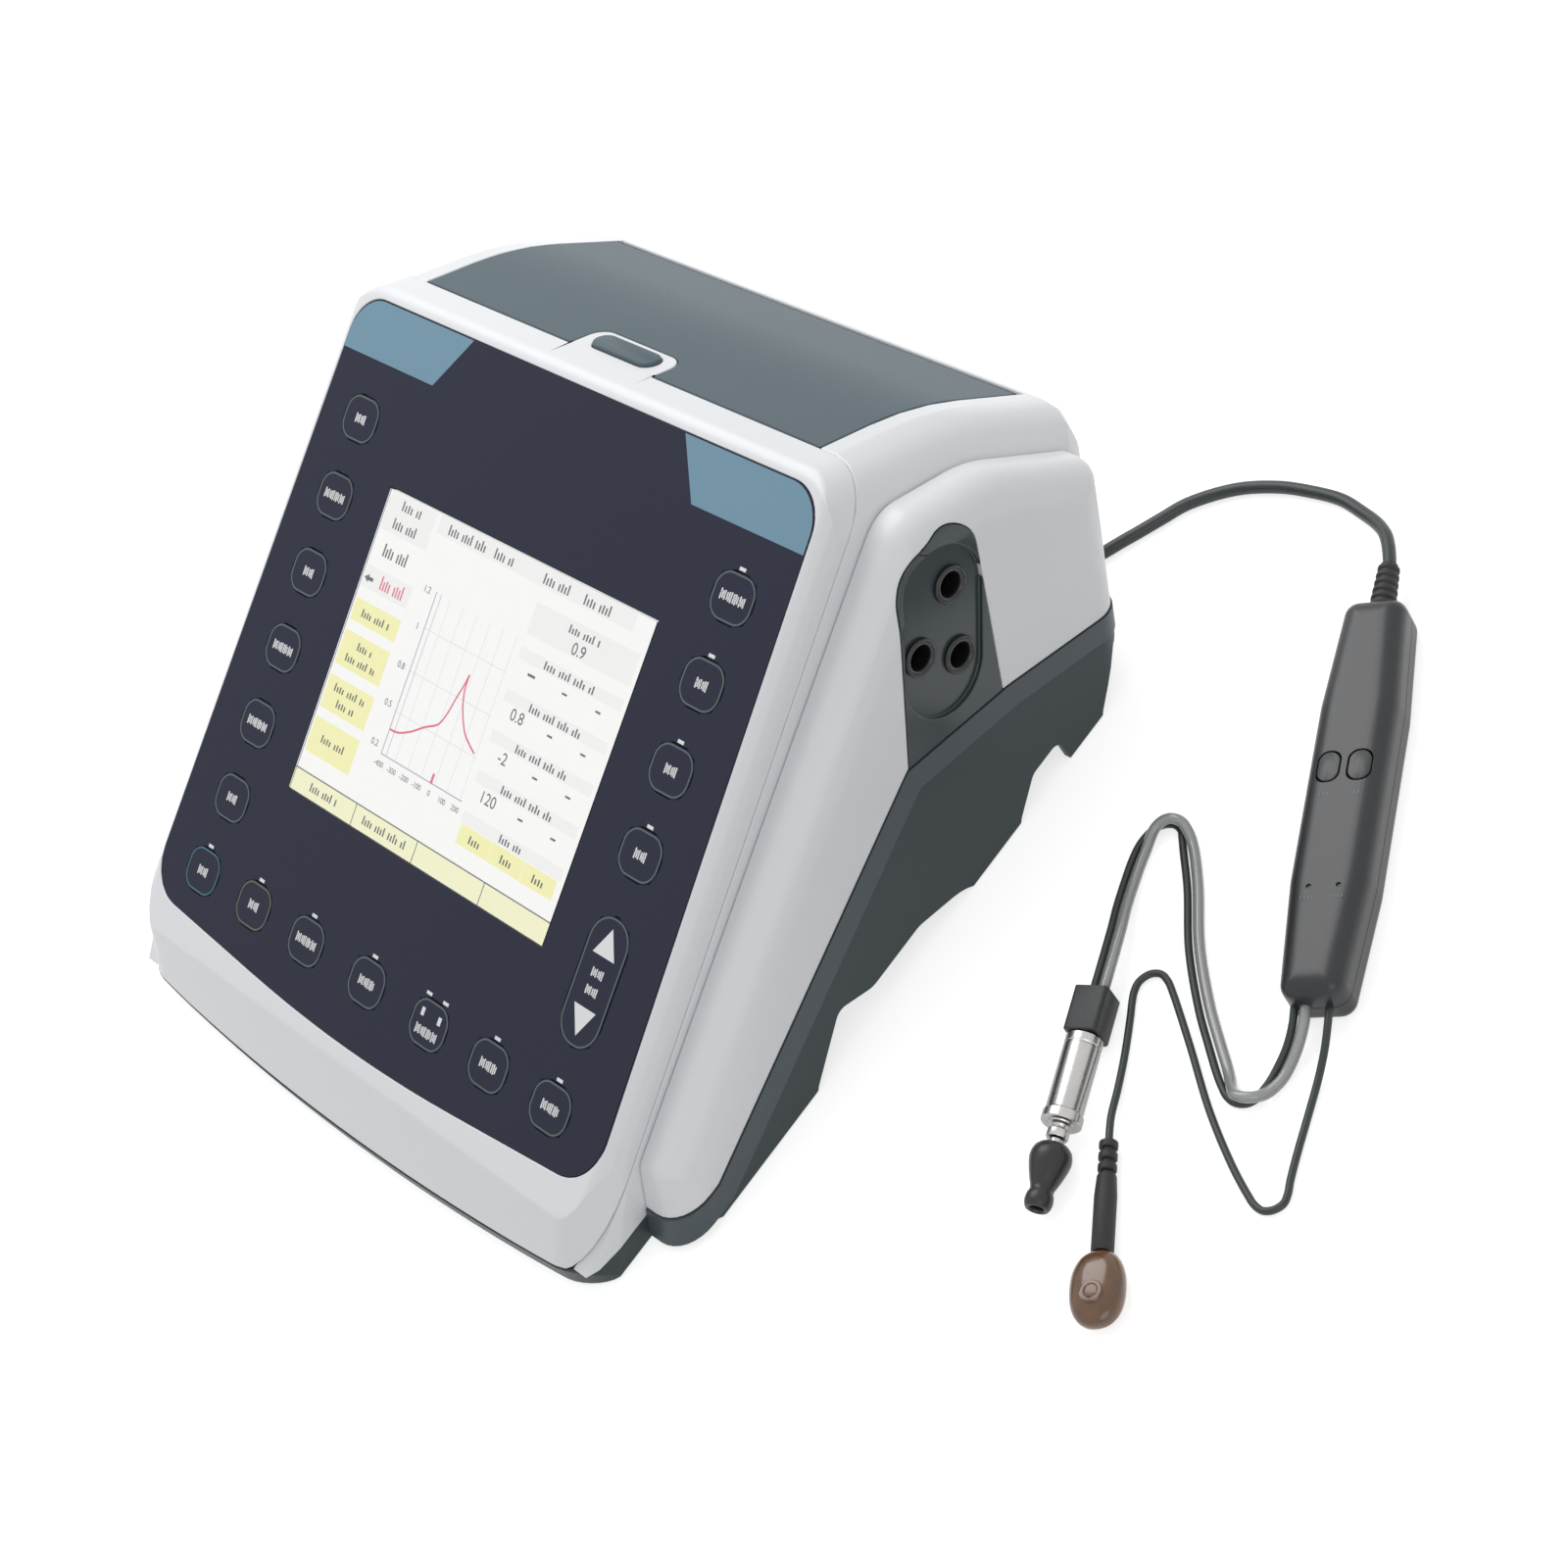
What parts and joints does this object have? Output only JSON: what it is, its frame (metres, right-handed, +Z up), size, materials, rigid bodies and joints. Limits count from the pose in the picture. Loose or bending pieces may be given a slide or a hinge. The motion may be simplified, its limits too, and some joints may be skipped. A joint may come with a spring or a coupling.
{
  "type": "tympanometer",
  "caption": "Desktop tympanometer with a tilted colour screen, soft keys, a built-in paper printer, and a corded handset with an ear probe and a button earphone.",
  "frame": {"origin": "on the table under the middle of the console and handset set, at the feet's lowest plane", "axes": "+X to the console's right as its user sees it, +Y to its back, +Z up"},
  "size_m": [0.4212, 0.2821, 0.1097],
  "materials": {
    "white_plastic": "satin",
    "slate_plastic": "fine grain",
    "dark_plastic": "fine grain",
    "black_plastic": "satin",
    "navy_film": "smooth film",
    "screen_glass": "clear",
    "circuit_board": "lacquered",
    "bright_metal": "satin",
    "soft_rubber": "matte",
    "cable_jacket": "satin",
    "clear_tube": "translucent",
    "thermal_paper": "matte",
    "amber_plastic": "glossy"
  },
  "bodies": {
    "console": {"air_pump": "bright_metal", "base_shell": "dark_plastic", "cable_gland": "soft_rubber", "cover_hinge_rod": "bright_metal", "display_module": "bright_metal", "display_window": "screen_glass", "earphone_cable": "cable_jacket", "earphone_receiver": "amber_plastic", "earphone_sleeve": "soft_rubber", "front_bezel": "white_plastic", "handset_board": "circuit_board", "handset_bottom_shell": "dark_plastic", "handset_cable_coil": "cable_jacket", "handset_cable_far": "cable_jacket", "handset_cable_near": "cable_jacket", "handset_strain_relief": "soft_rubber", "handset_top_shell": "dark_plastic", "jack_plate": "dark_plastic", "jack_sockets": "black_plastic", "keypad_panel": "navy_film", "main_board": "circuit_board", "power_inlet": "black_plastic", "power_supply": "circuit_board", "printer_frame": "black_plastic", "probe_barrel": "bright_metal", "probe_cable": "cable_jacket", "probe_housing": "dark_plastic", "probe_tube": "clear_tube", "rear_panel": "dark_plastic", "rubber_foot_front": "soft_rubber", "rubber_foot_rear": "soft_rubber", "side_pod_left": "white_plastic", "side_pod_right": "white_plastic", "upper_shell": "white_plastic"},
    "key_left_1": {"key_left_1": "navy_film"},
    "key_left_2": {"key_left_2": "navy_film"},
    "key_left_3": {"key_left_3": "navy_film"},
    "key_left_4": {"key_left_4": "navy_film"},
    "key_left_5": {"key_left_5": "navy_film"},
    "key_left_6": {"key_left_6": "navy_film"},
    "key_right_1": {"key_right_1": "navy_film"},
    "key_right_2": {"key_right_2": "navy_film"},
    "key_right_3": {"key_right_3": "navy_film"},
    "key_right_4": {"key_right_4": "navy_film"},
    "key_bottom_1": {"key_bottom_1": "navy_film"},
    "key_bottom_2": {"key_bottom_2": "navy_film"},
    "key_bottom_3": {"key_bottom_3": "navy_film"},
    "key_bottom_4": {"key_bottom_4": "navy_film"},
    "key_bottom_5": {"key_bottom_5": "navy_film"},
    "key_bottom_6": {"key_bottom_6": "navy_film"},
    "key_bottom_7": {"key_bottom_7": "navy_film"},
    "arrow_key": {"arrow_key": "navy_film"},
    "printer_cover": {"printer_cover": "slate_plastic"},
    "platen_roller": {"platen_roller": "soft_rubber"},
    "paper_roll": {"paper_roll": "thermal_paper"},
    "cover_release_button": {"cover_release_button": "slate_plastic"},
    "power_switch": {"power_switch": "black_plastic"},
    "handset_button_left": {"handset_button_left": "dark_plastic"},
    "handset_button_right": {"handset_button_right": "dark_plastic"},
    "ear_tip": {"ear_tip": "soft_rubber"}
  },
  "joints": [
    {"name": "key_left_1_press", "type": "slide", "parent": "console", "child": "key_left_1", "axis": [0, 0.4695, -0.8829], "range_m": [0, 0.0005], "stiffness_N_per_m": 500},
    {"name": "key_left_2_press", "type": "slide", "parent": "console", "child": "key_left_2", "axis": [0, 0.4695, -0.8829], "range_m": [0, 0.0005], "stiffness_N_per_m": 500},
    {"name": "key_left_3_press", "type": "slide", "parent": "console", "child": "key_left_3", "axis": [0, 0.4695, -0.8829], "range_m": [0, 0.0005], "stiffness_N_per_m": 500},
    {"name": "key_left_4_press", "type": "slide", "parent": "console", "child": "key_left_4", "axis": [0, 0.4695, -0.8829], "range_m": [0, 0.0005], "stiffness_N_per_m": 500},
    {"name": "key_left_5_press", "type": "slide", "parent": "console", "child": "key_left_5", "axis": [0, 0.4695, -0.8829], "range_m": [0, 0.0005], "stiffness_N_per_m": 500},
    {"name": "key_left_6_press", "type": "slide", "parent": "console", "child": "key_left_6", "axis": [0, 0.4695, -0.8829], "range_m": [0, 0.0005], "stiffness_N_per_m": 500},
    {"name": "key_right_1_press", "type": "slide", "parent": "console", "child": "key_right_1", "axis": [0, 0.4695, -0.8829], "range_m": [0, 0.0005], "stiffness_N_per_m": 500},
    {"name": "key_right_2_press", "type": "slide", "parent": "console", "child": "key_right_2", "axis": [0, 0.4695, -0.8829], "range_m": [0, 0.0005], "stiffness_N_per_m": 500},
    {"name": "key_right_3_press", "type": "slide", "parent": "console", "child": "key_right_3", "axis": [0, 0.4695, -0.8829], "range_m": [0, 0.0005], "stiffness_N_per_m": 500},
    {"name": "key_right_4_press", "type": "slide", "parent": "console", "child": "key_right_4", "axis": [0, 0.4695, -0.8829], "range_m": [0, 0.0005], "stiffness_N_per_m": 500},
    {"name": "key_bottom_1_press", "type": "slide", "parent": "console", "child": "key_bottom_1", "axis": [0, 0.4695, -0.8829], "range_m": [0, 0.0005], "stiffness_N_per_m": 500},
    {"name": "key_bottom_2_press", "type": "slide", "parent": "console", "child": "key_bottom_2", "axis": [0, 0.4695, -0.8829], "range_m": [0, 0.0005], "stiffness_N_per_m": 500},
    {"name": "key_bottom_3_press", "type": "slide", "parent": "console", "child": "key_bottom_3", "axis": [0, 0.4695, -0.8829], "range_m": [0, 0.0005], "stiffness_N_per_m": 500},
    {"name": "key_bottom_4_press", "type": "slide", "parent": "console", "child": "key_bottom_4", "axis": [0, 0.4695, -0.8829], "range_m": [0, 0.0005], "stiffness_N_per_m": 500},
    {"name": "key_bottom_5_press", "type": "slide", "parent": "console", "child": "key_bottom_5", "axis": [0, 0.4695, -0.8829], "range_m": [0, 0.0005], "stiffness_N_per_m": 500},
    {"name": "key_bottom_6_press", "type": "slide", "parent": "console", "child": "key_bottom_6", "axis": [0, 0.4695, -0.8829], "range_m": [0, 0.0005], "stiffness_N_per_m": 500},
    {"name": "key_bottom_7_press", "type": "slide", "parent": "console", "child": "key_bottom_7", "axis": [0, 0.4695, -0.8829], "range_m": [0, 0.0005], "stiffness_N_per_m": 500},
    {"name": "arrow_key_rock", "type": "hinge", "parent": "console", "child": "arrow_key", "pos_m": [0.0241, -0.07036, 0.04602], "axis": [1, 0, 0], "range_deg": [-1.5, 1.5], "stiffness_Nm_per_rad": 0.1},
    {"name": "cover_hinge", "type": "hinge", "parent": "console", "child": "printer_cover", "pos_m": [-0.0555, 0.10827, 0.06441], "axis": [-1, 0, 0], "range_deg": [0, 80]},
    {"name": "platen_spin", "type": "hinge", "parent": "printer_cover", "child": "platen_roller", "pos_m": [-0.0555, 0.06548, 0.08915], "axis": [1, 0, 0], "continuous": true},
    {"name": "roll_spin", "type": "hinge", "parent": "console", "child": "paper_roll", "pos_m": [-0.0555, 0.0756, 0.059], "axis": [1, 0, 0], "continuous": true},
    {"name": "release_press", "type": "slide", "parent": "console", "child": "cover_release_button", "axis": [0, -0.4756, -0.8797], "range_m": [0, 0.002], "stiffness_N_per_m": 400},
    {"name": "switch_rock", "type": "hinge", "parent": "console", "child": "power_switch", "pos_m": [-0.0355, 0.0975, 0.0236], "axis": [1, 0, 0], "range_deg": [0, 14]},
    {"name": "handset_left_press", "type": "slide", "parent": "console", "child": "handset_button_left", "axis": [0, 0, -1], "range_m": [0, 0.0008], "stiffness_N_per_m": 400},
    {"name": "handset_right_press", "type": "slide", "parent": "console", "child": "handset_button_right", "axis": [0, 0, -1], "range_m": [0, 0.0008], "stiffness_N_per_m": 400},
    {"name": "ear_tip_pull", "type": "slide", "parent": "console", "child": "ear_tip", "axis": [0.421, -0.907, 0], "range_m": [0, 0.012]}
  ],
  "couplings": [
    {"joint": "platen_spin", "follows": "roll_spin", "ratio": 5.25}
  ]
}
